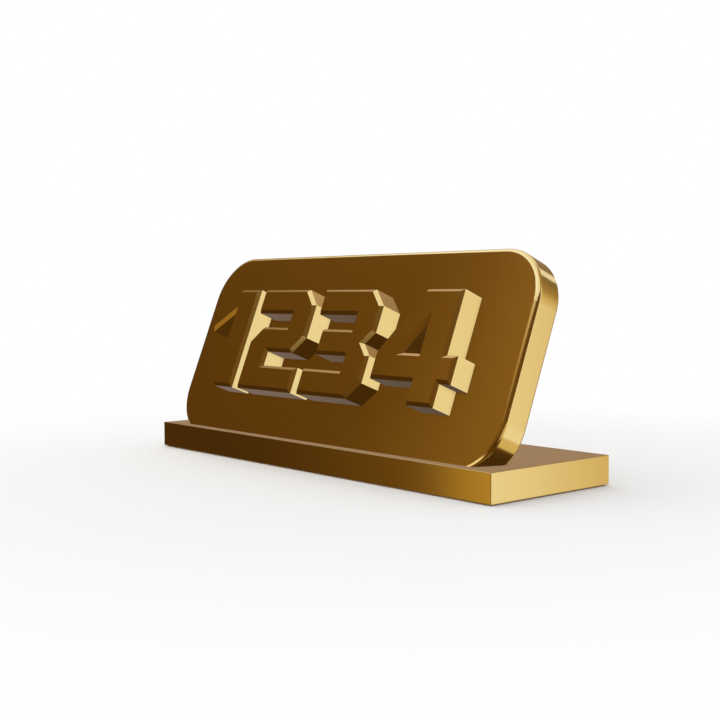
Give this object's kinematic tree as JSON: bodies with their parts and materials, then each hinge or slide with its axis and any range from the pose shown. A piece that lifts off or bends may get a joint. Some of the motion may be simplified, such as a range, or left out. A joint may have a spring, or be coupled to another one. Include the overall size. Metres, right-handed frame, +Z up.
{
  "type": "desk name plate",
  "caption": "Leaning plate with raised block figures, standing in a slanted groove across a flat slab base on rubber pads; shows a number on a desk.",
  "frame": {"origin": "on the desk surface, under the middle of the slab base", "axes": "+X along the slab to the right as the figures are read, -Y towards the reader, +Z up"},
  "size_m": [0.2, 0.061, 0.0839],
  "materials": {
    "base_brass": "satin polished",
    "plate_brass": "satin polished",
    "figure_brass": "polished",
    "pin_steel": "ground",
    "screw_steel": "turned",
    "pad_rubber": "matt"
  },
  "bodies": {
    "root": {"base_slab": "base_brass", "face_plate": "plate_brass", "figure_one": "figure_brass", "figure_two": "figure_brass", "figure_three": "figure_brass", "figure_four": "figure_brass", "figure_pins": "pin_steel", "base_screws": "screw_steel", "pad_front_left": "pad_rubber", "pad_front_right": "pad_rubber", "pad_rear_left": "pad_rubber", "pad_rear_right": "pad_rubber"}
  },
  "joints": []
}
